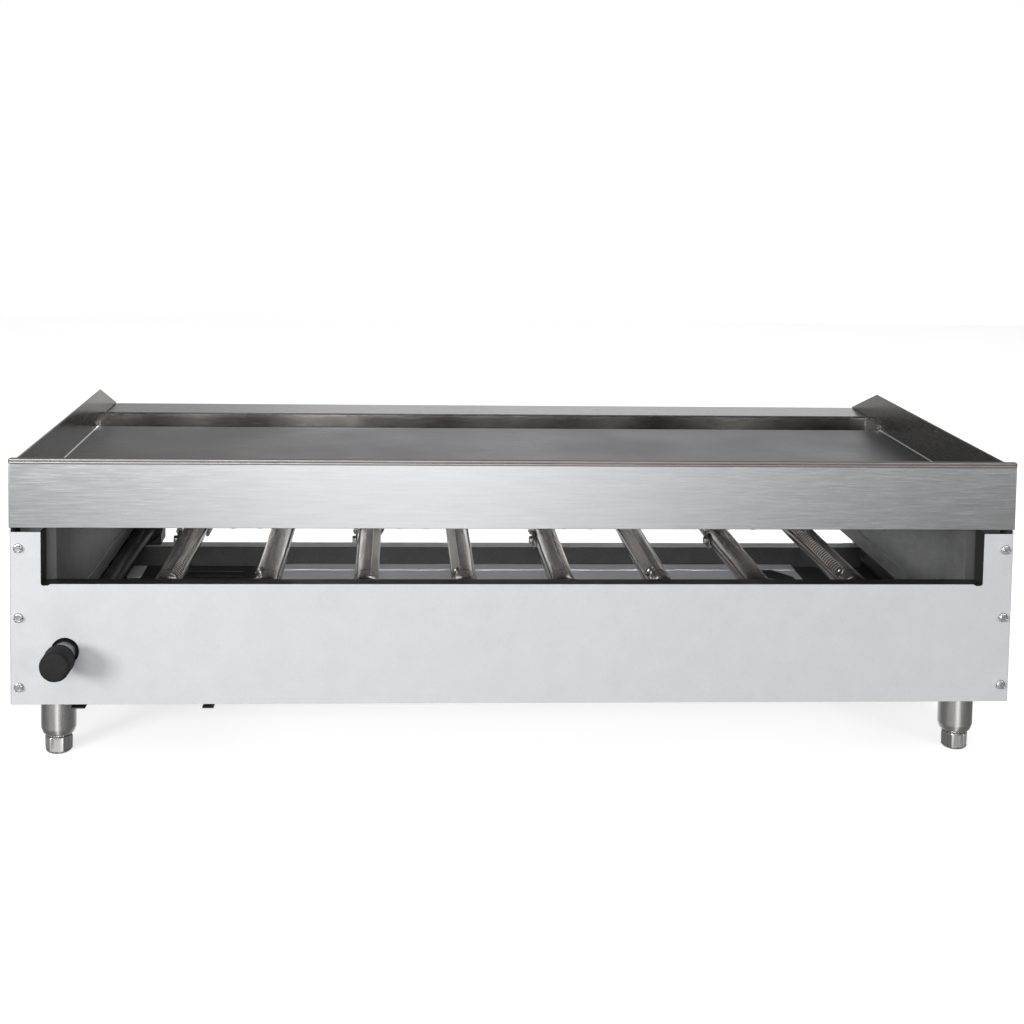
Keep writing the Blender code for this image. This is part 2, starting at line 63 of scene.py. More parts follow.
def make_camera():
    yaw, pitch, roll = CAMERA_TURN
    ahead = Vector((-math.sin(yaw) * math.cos(pitch), -math.cos(yaw) * math.cos(pitch),
                    -math.sin(pitch)))
    flat_right = Vector((-math.cos(yaw), math.sin(yaw), 0.0))
    up = flat_right.cross(ahead)
    right = flat_right * math.cos(roll) + up * math.sin(roll)
    up = up * math.cos(roll) - flat_right * math.sin(roll)
    data = bpy.data.cameras.new("camera")
    data.sensor_width = 36.0
    data.lens = CAMERA_LENS
    data.shift_x, data.shift_y = CAMERA_SHIFT
    data.clip_start = 0.05
    data.clip_end = 60.0
    cam = bpy.data.objects.new("camera", data)
    bpy.context.scene.collection.objects.link(cam)
    turn = Matrix((right, up, -ahead)).transposed()
    cam.matrix_world = Matrix.Translation((CAMERA_X, y_at(CAMERA_DEPTH), CAMERA_Z)) @ turn.to_4x4()
    bpy.context.scene.camera = cam


# ------------------------------------------------------------- material helpers
def new_material(name):
    mat = bpy.data.materials.new(name)
    mat.use_nodes = True
    tree = mat.node_tree
    return mat, tree, tree.nodes["Principled BSDF"]


def noise(tree, scale, detail=2.0, roughness=0.5):
    """Noise fixed to the piece; scale is in cells a metre, the same or one for each axis."""
    where = tree.nodes.new("ShaderNodeTexCoord")
    mapping = tree.nodes.new("ShaderNodeMapping")
    mapping.inputs["Scale"].default_value = scale if isinstance(scale, tuple) else (scale,) * 3
    tree.links.new(where.outputs["Object"], mapping.inputs["Vector"])
    tex = tree.nodes.new("ShaderNodeTexNoise")
    tex.inputs["Scale"].default_value = 1.0
    tex.inputs["Detail"].default_value = detail
    tex.inputs["Roughness"].default_value = roughness
    tree.links.new(mapping.outputs["Vector"], tex.inputs["Vector"])
    return tex.outputs["Fac"]


def spread(tree, value, low, high, out_low, out_high):
    """Carry a value from one range into another, held at the ends."""
    node = tree.nodes.new("ShaderNodeMapRange")
    node.inputs["From Min"].default_value = low
    node.inputs["From Max"].default_value = high
    node.inputs["To Min"].default_value = out_low
    node.inputs["To Max"].default_value = out_high
    tree.links.new(value, node.inputs["Value"])
    return node.outputs["Result"]


def blend(tree, factor, first, second, mode="MIX"):
    """Mix two colours; each input is a socket, an (r, g, b) or a number."""
    node = tree.nodes.new("ShaderNodeMix")
    node.data_type = "RGBA"
    node.blend_type = mode
    for socket, value in ((node.inputs[0], factor), (node.inputs[6], first),
                          (node.inputs[7], second)):
        if isinstance(value, bpy.types.NodeSocket):
            tree.links.new(value, socket)
        elif isinstance(value, tuple):
            socket.default_value = (*value, 1.0)
        else:
            socket.default_value = value
    return node.outputs[2]


def calc(tree, operation, first, second=0.0):
    node = tree.nodes.new("ShaderNodeMath")
    node.operation = operation
    for socket, value in ((node.inputs[0], first), (node.inputs[1], second)):
        if isinstance(value, bpy.types.NodeSocket):
            tree.links.new(value, socket)
        else:
            socket.default_value = value
    return node.outputs[0]


def bump(tree, shader, height, strength, distance):
    node = tree.nodes.new("ShaderNodeBump")
    node.inputs["Strength"].default_value = strength
    node.inputs["Distance"].default_value = distance
    tree.links.new(height, node.inputs["Height"])
    tree.links.new(node.outputs["Normal"], shader.inputs["Normal"])


def facing(tree, axis, low=0.55, high=0.85):
    """1 on the faces that look along +X, +Y or +Z (axis 0, 1 or 2), 0 on the rest."""
    geometry = tree.nodes.new("ShaderNodeNewGeometry")
    apart = tree.nodes.new("ShaderNodeSeparateXYZ")
    tree.links.new(geometry.outputs["Normal"], apart.inputs["Vector"])
    return spread(tree, apart.outputs[axis], low, high, 0.0, 1.0)


def brushed(name, dark, light, rough, along, smudge=0.35, grain=0.25):
    """Steel with fine brush lines along one axis, broad smudges and a little waviness."""
    mat, tree, shader = new_material(name)
    fine = [1100.0, 1100.0, 1100.0]
    broad = [260.0, 260.0, 260.0]
    fine[along] = 34.0
    broad[along] = 17.0
    lines = noise(tree, tuple(fine), 3.0, 0.6)
    bands = noise(tree, tuple(broad))
    clouds = noise(tree, 4.5, 4.0, 0.55)
    streak = calc(tree, "ADD", calc(tree, "MULTIPLY", lines, 0.6),
                  calc(tree, "MULTIPLY", bands, 0.4))
    tone = spread(tree, streak, 0.30, 0.70, 0.0, 1.0)
    colour = blend(tree, tone, dark, light)
    shade = spread(tree, clouds, 0.35, 0.70, 1.0, 1.0 - 0.10 * smudge)
    tree.links.new(blend(tree, 1.0, colour, shade, "MULTIPLY"), shader.inputs["Base Color"])
    wear = calc(tree, "ADD", spread(tree, lines, 0.3, 0.7, rough - 0.05, rough + 0.05),
                spread(tree, clouds, 0.35, 0.75, 0.0, 0.10 * smudge))
    tree.links.new(wear, shader.inputs["Roughness"])
    shader.inputs["Metallic"].default_value = 1.0
    bump(tree, shader, streak, grain, 0.00012)
    return mat


def painted_reflection_along_x(mat, low, high, scale):
    """Painted reflection: darker and lighter stretches along a long part, standing in for the light and
    dark that the steel reflects.
    """
    tree = mat.node_tree
    shader = tree.nodes["Principled BSDF"]
    colour = shader.inputs["Base Color"].links[0].from_socket
    stretch = noise(tree, (scale, 0.0, 0.0), 1.0, 0.4)
    factor = spread(tree, stretch, 0.38, 0.62, low, high)
    tree.links.new(blend(tree, 1.0, colour, factor, "MULTIPLY"), shader.inputs["Base Color"])
    return mat


def sheet_paint(name, dark, light, rough, metallic, speck, shine=0.5, other=None):
    """Coated or plated sheet: fine metallic speckle over slow shade changes. other gives the
    faces that look along one axis another colour: (axis, colour)."""
    mat, tree, shader = new_material(name)
    specks = noise(tree, speck, 2.0, 0.7)
    mottle = noise(tree, 38.0, 3.0, 0.6)
    clouds = noise(tree, 3.0, 3.0, 0.5)
    mixed = calc(tree, "ADD", calc(tree, "MULTIPLY", specks, 0.55),
                 calc(tree, "ADD", calc(tree, "MULTIPLY", mottle, 0.25),
                      calc(tree, "MULTIPLY", clouds, 0.20)))
    colour = blend(tree, spread(tree, mixed, 0.32, 0.68, 0.0, 1.0), dark, light)
    # with the rail, this other colour paints light onto the faces that look up
    if other:
        colour = blend(tree, facing(tree, other[0]), colour, other[1])
    tree.links.new(colour, shader.inputs["Base Color"])
    tree.links.new(spread(tree, mixed, 0.3, 0.7, rough - 0.06, rough + 0.06),
                   shader.inputs["Roughness"])
    shader.inputs["Metallic"].default_value = metallic
    shader.inputs["Specular IOR Level"].default_value = shine
    bump(tree, shader, specks, 0.15, 0.00010)
    return mat


def moulded(name, dark, light, rough, shine=0.5):
    """Moulded plastic or rubber with a fine matt texture and rubbed patches."""
    mat, tree, shader = new_material(name)
    fine = noise(tree, 1400.0, 2.0, 0.6)
    rubbed = noise(tree, 90.0, 3.0, 0.6)
    tree.links.new(blend(tree, spread(tree, rubbed, 0.35, 0.70, 0.0, 1.0), dark, light),
                   shader.inputs["Base Color"])
    tree.links.new(spread(tree, rubbed, 0.3, 0.7, rough - 0.08, rough + 0.08),
                   shader.inputs["Roughness"])
    shader.inputs["Specular IOR Level"].default_value = shine
    bump(tree, shader, fine, 0.20, 0.00015)
    return mat


def heated_tube(name):
    """Bare steel burner tube: heat-tinted bands, drawn streaks and scuffs."""
    mat, tree, shader = new_material(name)
    streaks = noise(tree, (420.0, 9.0, 420.0), 3.0, 0.6)
    blotch = noise(tree, (70.0, 14.0, 70.0), 3.0, 0.55)
    scuffs = noise(tree, (190.0, 60.0, 190.0), 3.0, 0.7)
    steel = blend(tree, spread(tree, streaks, 0.32, 0.68, 0.0, 1.0), (0.100, 0.092, 0.088),
                  (0.29, 0.268, 0.256))
    tint = blend(tree, spread(tree, blotch, 0.45, 0.70, 0.0, 0.8), steel, (0.085, 0.079, 0.077))
    worn = blend(tree, spread(tree, scuffs, 0.57, 0.68, 0.0, 0.55), tint, (0.62, 0.56, 0.53))
    rough = spread(tree, blotch, 0.35, 0.70, 0.11, 0.22)
    height = calc(tree, "ADD", calc(tree, "MULTIPLY", scuffs, 0.6),
                  calc(tree, "MULTIPLY", streaks, 0.4))
    tree.links.new(worn, shader.inputs["Base Color"])
    tree.links.new(rough, shader.inputs["Roughness"])
    shader.inputs["Metallic"].default_value = 0.85
    bump(tree, shader, height, 0.20, 0.00025)
    return mat


def plain_metal(name, dark, light, rough, metallic=1.0, scale=240.0):
    """Unbrushed metal with a fine, even grain."""
    mat, tree, shader = new_material(name)
    grain = noise(tree, scale, 4.0, 0.6)
    tree.links.new(blend(tree, spread(tree, grain, 0.35, 0.68, 0.0, 1.0), dark, light),
                   shader.inputs["Base Color"])
    tree.links.new(spread(tree, grain, 0.3, 0.7, rough - 0.07, rough + 0.07),
                   shader.inputs["Roughness"])
    shader.inputs["Metallic"].default_value = metallic
    bump(tree, shader, grain, 0.15, 0.00015)
    return mat


MATERIALS = {
    "band": brushed("band_steel", (0.565, 0.572, 0.58), (0.655, 0.662, 0.67), 0.23, 0, smudge=0.2,
                    grain=0.11),
    "fold": plain_metal("folded_edge", (0.80, 0.80, 0.80), (0.92, 0.92, 0.91), 0.35),
    "hem": brushed("hem_steel", (0.22, 0.205, 0.195), (0.30, 0.285, 0.275), 0.40, 0, grain=0.06),
    "guard": brushed("guard_steel", (0.178, 0.173, 0.160), (0.230, 0.225, 0.213), 0.22, 1, smudge=0.8,
                     grain=0.07),
    "ledge": brushed("ledge_steel", (0.46, 0.45, 0.455), (0.55, 0.54, 0.545), 0.24, 0, grain=0.15),
    "front": brushed("front_steel", (0.56, 0.56, 0.56), (0.66, 0.66, 0.66), 0.30, 0),
    # painted reflection on the trough's wall: lighter and darker stretches along X in its colour
    "trough": painted_reflection_along_x(brushed("trough_steel", (0.64, 0.62, 0.60), (0.72, 0.70, 0.68), 0.20, 0,
                                      grain=0.05), 0.38, 1.12, 6.0),
    "plate": brushed("plate_steel", (0.160, 0.154, 0.167), (0.212, 0.205, 0.221), 0.30, 0,
                     smudge=1.0, grain=0.30),
    "weld": plain_metal("weld_seam", (0.55, 0.54, 0.53), (0.72, 0.71, 0.70), 0.30),
    "leg": brushed("leg_steel", (0.66, 0.65, 0.645), (0.80, 0.79, 0.78), 0.26, 2, grain=0.12),
    "panel": sheet_paint("panel_sheet", (0.435, 0.440, 0.462), (0.515, 0.520, 0.540), 0.45, 0.10, 900.0),
    "liner": sheet_paint("liner_sheet", (0.17, 0.172, 0.175), (0.40, 0.405, 0.41), 0.46, 0.6, 420.0,
                         other=(1, (0.115, 0.116, 0.118))),
    "pan": sheet_paint("pan_sheet", (0.56, 0.555, 0.59), (0.70, 0.695, 0.73), 0.40, 0.2, 500.0),
    "tab": sheet_paint("tab_sheet", (0.78, 0.78, 0.80), (0.90, 0.90, 0.92), 0.35, 0.2, 500.0),
    # painted light: the rail's faces that look up get a much lighter colour, standing in for the sheen
    # its top flange catches from above
    "rail": sheet_paint("rail_sheet", (0.009, 0.009, 0.009), (0.042, 0.041, 0.040), 0.50, 0.0, 420.0,
                        shine=0.2, other=(2, (0.50, 0.50, 0.52))),
    "black": sheet_paint("black_sheet", (0.010, 0.010, 0.011), (0.022, 0.022, 0.022), 0.50, 0.0, 700.0),
    "pipe": sheet_paint("pipe_paint", (0.008, 0.008, 0.0085), (0.018, 0.018, 0.018), 0.42, 0.0, 260.0,
                        shine=0.25),
    "burner": heated_tube("burner_tube"),
    "fitting": plain_metal("dull_fitting", (0.10, 0.097, 0.093), (0.20, 0.19, 0.185), 0.42),
    "nipple": plain_metal("pipe_nipple", (0.20, 0.20, 0.20), (0.34, 0.34, 0.345), 0.40),
    "brass": plain_metal("valve_brass", (0.52, 0.38, 0.16), (0.72, 0.56, 0.27), 0.34),
    "cap": moulded("soft_cap", (0.008, 0.008, 0.0085), (0.016, 0.016, 0.017), 0.70, shine=0.2),
    "knob": moulded("knob_plastic", (0.012, 0.012, 0.012), (0.022, 0.022, 0.022), 0.34),
    "mark": moulded("knob_mark", (0.70, 0.70, 0.70), (0.82, 0.82, 0.82), 0.45),
    "screw": plain_metal("zinc_screw", (0.46, 0.46, 0.48), (0.66, 0.66, 0.68), 0.28, scale=500.0),
    "port_rim": plain_metal("port_rim", (0.30, 0.28, 0.265), (0.46, 0.43, 0.41), 0.32),
    # painted shade: the near-black bed of the port strips stands in for the dark inside of the burner's
    # slots
    "port_dark": plain_metal("port_dark", (0.010, 0.009, 0.008), (0.022, 0.020, 0.018), 0.7,
                             metallic=0.2),
}


def paint(node, key):
    """Give a CAD node that stays in the picture its finish."""
    for holder in NODES[node].material_slots:
        holder.material = MATERIALS[key]


# --------------------------------------------------------------- mesh helpers
def piece(name, bm, keys, body="cabinet", smooth_angle=None, bevel=None):
    """Turn a bmesh into a finished piece that rides on a body. smooth_angle shades the edges
    below that many degrees smooth; bevel rounds the edges by a width."""
    bmesh.ops.recalc_face_normals(bm, faces=bm.faces)
    mesh = bpy.data.meshes.new(name)
    if smooth_angle is not None:
        for face in bm.faces:
            face.smooth = True
        for edge in bm.edges:
            if len(edge.link_faces) == 2:
                edge.smooth = edge.calc_face_angle(0.0) < math.radians(smooth_angle)
    bm.to_mesh(mesh)
    bm.free()
    for key in keys:
        mesh.materials.append(MATERIALS[key])
    obj = bpy.data.objects.new(name, mesh)
    bpy.context.scene.collection.objects.link(obj)
    if bevel:
        mod = obj.modifiers.new("edges", "BEVEL")
        mod.width = bevel
        mod.segments = 3
        mod.limit_method = "ANGLE"
        mod.angle_limit = math.radians(30.0)
        mod.harden_normals = True
        for poly in mesh.polygons:
            poly.use_smooth = True
    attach(obj, body)
    return obj


def add_prism(bm, points, axis, start, end):
    """Extrude an outline: (depth, z) along x, (x, z) along depth, (x, depth) along z."""
    rows = []
    for level in (start, end):
        row = []
        for a, b in points:
            place = {"x": (level, y_at(a), b), "d": (a, y_at(level), b), "z": (a, y_at(b), level)}
            row.append(bm.verts.new(place[axis]))
        rows.append(row)
    count = len(points)
    for row in rows:
        bm.faces.new(row)
    for i in range(count):
        j = (i + 1) % count
        bm.faces.new((rows[0][i], rows[0][j], rows[1][j], rows[1][i]))


def add_box(bm, x, depth, z):
    add_prism(bm, [(x[0], z[0]), (x[1], z[0]), (x[1], z[1]), (x[0], z[1])], "d", *depth)


def add_turned(bm, centre, axis, profile, count=48, index=0):
    """Stack rings along an axis from (distance, radius) pairs; radius 0 closes an end, an open
    profile joins its last ring to its first, and a third entry makes that ring a hexagon."""
    rot = Vector((0.0, 0.0, 1.0)).rotation_difference(Vector(axis)).to_matrix()
    base = Vector(centre)
    rows = []
    for step in profile:
        height, radius = step[0], step[1]
        if radius == 0.0:
            rows.append([bm.verts.new(base + rot @ Vector((0.0, 0.0, height)))])
            continue
        row = []
        for k in range(count):
            angle = 2.0 * math.pi * k / count
            r = radius
            if len(step) > 2:
                r *= math.cos(math.pi / 6.0) / math.cos((angle % (math.pi / 3.0)) - math.pi / 6.0)
            row.append(bm.verts.new(base + rot @ Vector((r * math.cos(angle), r * math.sin(angle),
                                                         height))))
        rows.append(row)
    pairs = list(zip(rows, rows[1:]))
    if len(rows[0]) > 1 and len(rows[-1]) > 1:
        pairs.append((rows[-1], rows[0]))
    for low, high in pairs:
        for k in range(count):
            m = (k + 1) % count
            if len(low) == 1:
                face = bm.faces.new((low[0], high[m], high[k]))
            elif len(high) == 1:
                face = bm.faces.new((low[k], low[m], high[0]))
            else:
                face = bm.faces.new((low[k], low[m], high[m], high[k]))
            face.material_index = index


def rounded(points, radii, steps=5):
    """Round the named corners of an outline."""
    out = []
    count = len(points)
    for i, point in enumerate(points):
        radius = radii.get(i, 0.0)
        here = Vector(point)
        if radius == 0.0:
            out.append((here.x, here.y))
            continue
        before = (Vector(points[i - 1]) - here).normalized()
        after = (Vector(points[(i + 1) % count]) - here).normalized()
        half = before.angle(after) / 2.0
        reach = radius / math.tan(half)
        centre = here + (before + after).normalized() * (radius / math.sin(half))
        first = here + before * reach - centre
        last = here + after * reach - centre
        for k in range(steps + 1):
            t = k / steps
            arm = first.normalized().slerp(last.normalized(), t) * radius
            out.append((centre.x + arm.x, centre.y + arm.y))
    return out


# ------------------------------------------------------------------ dimensions
HALF_W = 0.6096         # half the overall width
INNER_W = 0.6072        # half width between the side splashes
SKIRT_Z = 0.2920        # lower edge of the band and splashes
PLATE_Z = 0.3160        # cooking surface
LEDGE_Z = 0.3255        # top of the front ledge
GUARD_Z = 0.3685        # top of the side splashes
PLATE_D = 0.5440        # front edge of the plate
TROUGH_D = 0.6130       # front wall of the trough
PANEL_D = 0.6900        # face of the control panel
FOLD_R = 0.0014         # rounded vertical folds at the band's ends
BURNER_Z = 0.1990       # axis of the burner legs
TUBE_R = 0.0160
CROSS_D = 0.0520        # axis of the tube that joins a burner's two legs
CORNER_R = 0.0220       # bend from leg to cross tube
STRIP_D = 0.1135        # back end of the port strip on a burner's -X leg
HEADER_D = 0.4550       # back face of the box header
HALF_U = 0.0624         # half the spacing of a burner's legs
BURNERS = (-0.3735, -0.1245, 0.1245, 0.3735)
GAS_X, GAS_Z = 0.5440, 0.1420
SCREW_X = 0.5985
SCREW_Z = (0.0985, 0.1830, 0.2675)
LEGS = ((-0.563, 0.055), (0.563, 0.055), (-0.563, 0.560), (0.563, 0.560))


def add_tube(bm, path, radius, count):
    """Sweep a round tube along a path and close its ends."""
    points = [Vector(p) for p in path]
    rows = []
    side = None
    for i, point in enumerate(points):
        before = (point - points[i - 1]).normalized() if i else None
        after = (points[i + 1] - point).normalized() if i + 1 < len(points) else None
        tangent = (before or after) if not (before and after) else (before + after).normalized()
        if side is None:
            side = tangent.orthogonal().normalized()
        side = (side - tangent * side.dot(tangent)).normalized()
        other = tangent.cross(side)
        rows.append([point + (side * math.cos(2.0 * math.pi * k / count)
                              + other * math.sin(2.0 * math.pi * k / count)) * radius
                     for k in range(count)])
    add_loft(bm, rows)


def arc(centre, radius, start, end, steps):
    """Points on an arc between two angles in degrees."""
    return [(centre[0] + radius * math.cos(math.radians(start + (end - start) * k / steps)),
             centre[1] + radius * math.sin(math.radians(start + (end - start) * k / steps)))
            for k in range(steps + 1)]


def add_loft(bm, sections):
    """Skin a row of outlines, each a list of points of the same count."""
    rows = [[bm.verts.new(p) for p in section] for section in sections]
    for low, high in zip(rows, rows[1:]):
        for k in range(len(low)):
            m = (k + 1) % len(low)
            bm.faces.new((low[k], low[m], high[m], high[k]))
    bm.faces.new(rows[0])
    bm.faces.new(rows[-1])


def soften_node(node, width):
    """Round the edges of a CAD part that stays in the picture."""
    obj = NODES[node]
    weld = obj.modifiers.new("weld", "WELD")
    weld.merge_threshold = 0.00001
    mod = obj.modifiers.new("edges", "BEVEL")
    mod.width = width
    mod.segments = 2
    mod.limit_method = "ANGLE"
    mod.angle_limit = math.radians(30.0)
    mod.use_clamp_overlap = True
    mod.harden_normals = True


# ------------------------------------------------------------- cooking surface
def make_top():
    bm = bmesh.new()
    add_prism(bm, rounded([(0.0000, SKIRT_Z), (0.0000, GUARD_Z + 0.0008), (0.0025, GUARD_Z + 0.0008),
                           (0.0025, SKIRT_Z + 0.0020), (0.0130, SKIRT_Z + 0.0020),
                           (0.0130, SKIRT_Z)], {0: 0.0009}), "x", -HALF_W + FOLD_R, HALF_W - FOLD_R)
    for x in (-HALF_W + FOLD_R, HALF_W - FOLD_R):
        add_turned(bm, (x, y_at(FOLD_R), 0.0), (0, 0, 1),
                   [(SKIRT_Z, 0.0), (SKIRT_Z, 0.0010), (SKIRT_Z + 0.0006, FOLD_R),
                    (GUARD_Z + 0.0008, FOLD_R), (GUARD_Z + 0.0008, 0.0)], 24, index=1)
    band = piece("rear_band", bm, ["band", "fold"], smooth_angle=35)
    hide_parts("splash_rear")

    # The hem is a folded bead on top of a flat return, a little prouder than the band.
    outline = ([(0.0046, 0.3700), (0.0040, 0.3692), (-0.0004, 0.3690)]
               + arc((-0.0004, 0.3700), 0.0008, 250, 180, 3)
               + [(-0.0012, 0.3714), (-0.0011, 0.3718), (-0.0002, 0.3722), (-0.0011, 0.3726)]
               + arc((0.0007, 0.3741), 0.0019, 195, 95, 7)
               + [(0.0034, 0.3760), (0.0042, 0.3756), (0.0046, 0.3748)])
    mid = (0.0017, 0.3726)
    sections = []
    ends = [(0.0, 0.45), (0.0006, 0.72), (0.0016, 0.90), (0.0030, 0.98), (0.0045, 1.0)]
    for x, size in ([(-HALF_W + step, size) for step, size in ends]
                    + [(HALF_W - step, size) for step, size in reversed(ends)]):
        sections.append([(x, y_at(mid[0] + (d - mid[0]) * size), mid[1] + (z - mid[1]) * size)
                         for d, z in outline])
    bm = bmesh.new()
    add_loft(bm, sections)
    piece("rear_hem", bm, ["hem"], smooth_angle=50)

    paint("griddle_plate", "plate")
    soften_node("griddle_plate", 0.0006)
    for name in ("splash_left", "splash_right"):
        paint(name, "guard")
        soften_node(name, 0.0007)
    paint("grease_trough", "trough")
    paint("front_ledge", "ledge")
    soften_node("front_ledge", 0.0008)

    for side, name in ((-1, "left"), (1, "right")):
        bm = bmesh.new()
        outer = side * INNER_W
        add_prism(bm, [(outer, PLATE_Z - 0.0002), (outer, PLATE_Z + 0.0010),
                       (outer - side * 0.0004, PLATE_Z + 0.0008),
                       (outer - side * 0.0010, PLATE_Z + 0.0003),
                       (outer - side * 0.0016, PLATE_Z - 0.0002)],
                  "d", 0.0026, PLATE_D - 0.0008)
        piece(f"plate_seam_{name}", bm, ["weld"], smooth_angle=50)
    bm = bmesh.new()
    add_prism(bm, [(0.0024, PLATE_Z - 0.0002), (0.0024, PLATE_Z + 0.0010), (0.0030, PLATE_Z + 0.0007),
                   (0.0038, PLATE_Z - 0.0002)], "x", -INNER_W, INNER_W)
    piece("plate_seam_rear", bm, ["weld"], smooth_angle=50)
    bm = bmesh.new()
    for x in (-0.6052, 0.6052):
        add_turned(bm, (x, y_at(0.6118), 0.0), (0, 0, 1),
                   [(0.2640, 0.0), (0.2640, 0.0014), (0.3240, 0.0014), (0.3248, 0.0)], 16)
    piece("trough_corner_welds", bm, ["weld"], smooth_angle=50)
    # the shadow gap where the ledge laps over the trough's wall
    bm = bmesh.new()
    add_box(bm, (-0.6040, 0.6040), (TROUGH_D - 0.0004, TROUGH_D + 0.0012),
            (LEDGE_Z - 0.0014, LEDGE_Z + 0.0002))
    piece("ledge_lap", bm, ["fitting"])


# -------------------------------------------------------------------- cabinet
# CAD parts that stay in the picture: their finish and how far their edges are rounded
KEPT_PARTS = (
    ("rear_panel", "panel", 0.0004), ("opening_frame", "black", 0.0003),
    ("side_panel_left", "front", 0.0005), ("side_panel_right", "front", 0.0005),
    ("liner_left", "liner", 0.0003), ("liner_right", "liner", 0.0003),
    ("control_panel", "front", 0.0006), ("front_rail", "rail", 0.0004),
    ("floor_pan", "pan", 0.0003), ("base_left", "black", 0.0004),
    ("base_right", "black", 0.0004), ("drawer_rail", "black", 0.0004),
    ("burner_rest_rear", "black", 0.0006), ("burner_rest_front", "black", 0.0006),
    ("grease_drawer", "black", 0.0005),
)


def make_cabinet():
    for node, key, width in KEPT_PARTS:
        paint(node, key)
        soften_node(node, width)
    # loose black plate lying on the floor pan by the last burner
    bm = bmesh.new()
    outline = [(-0.4050, 0.4400), (-0.4050, 0.5820), (-0.4500, 0.5820), (-0.4756, 0.5410),
               (-0.4756, 0.4400)]
    add_prism(bm, outline, "z", 0.0805, 0.0824)
    piece("pan_plate", bm, ["black"], bevel=0.0004)
    bm = bmesh.new()
    add_box(bm, (-0.6075, -0.5845), (0.6492, 0.6504), (0.0790, 0.1088))
    add_box(bm, (0.5696, 0.6075), (0.6492, 0.6504), (0.0790, 0.1420))
    piece("corner_shields", bm, ["black"])
    bm = bmesh.new()
    outline = [(0.5440, 0.5480), (0.5440, 0.6150), (0.5660, 0.6150), (0.5660, 0.5480)]
    add_prism(bm, rounded(outline, dict.fromkeys(range(4), 0.002), 4), "z", 0.0776, 0.0794)
    piece("floor_tab", bm, ["tab"], bevel=0.0003)


# --------------------------------------------------------------------- burners
def add_shell(bm, x, inner, angles, lifts, start, end, index=0):
    """A curved bar lying on one burner leg: angles (degrees from the top, toward the middle of
    the burner) and how far its bottom and top lie above the leg, between two depths."""
    low, high = lifts
    outline = [(a, high) for a in angles] + [(a, low) for a in reversed(angles)]
    ends = [[bm.verts.new((x + inner * math.sin(math.radians(a)) * (TUBE_R + lift), y_at(depth),
                           BURNER_Z + math.cos(math.radians(a)) * (TUBE_R + lift)))
             for a, lift in outline] for depth in (start, end)]
    count = len(outline)
    faces = []
    for k in range(count):
        m = (k + 1) % count
        faces.append(bm.faces.new((ends[0][k], ends[0][m], ends[1][m], ends[1][k])))
    faces += [bm.faces.new(ends[0]), bm.faces.new(ends[1])]
    for face in faces:
        face.material_index = index


def port_strip(bm, x, inner, start):
    """A strip of burner slots, high on the inner side of one leg: a near-black bed that is painted shade
    for the inside of the slots, two raised edges and bars across.
    inner is the side (-1 or +1) of the leg that faces the burner's middle."""
    end, pitch = HEADER_D - 0.012, 0.0085
    across = (23.0, 37.0, 51.0, 65.0)
    add_shell(bm, x, inner, across, (-0.0010, 0.0002), start, end, 1)
    for low in (20.0, 65.0):
        add_shell(bm, x, inner, (low, low + 1.5, low + 3.0), (-0.0010, 0.0009), start, end)
    depth = start + 0.0005
    while depth < end - pitch:
        add_shell(bm, x, inner, across, (-0.0010, 0.0006), depth, depth + 0.0024)
        depth += pitch


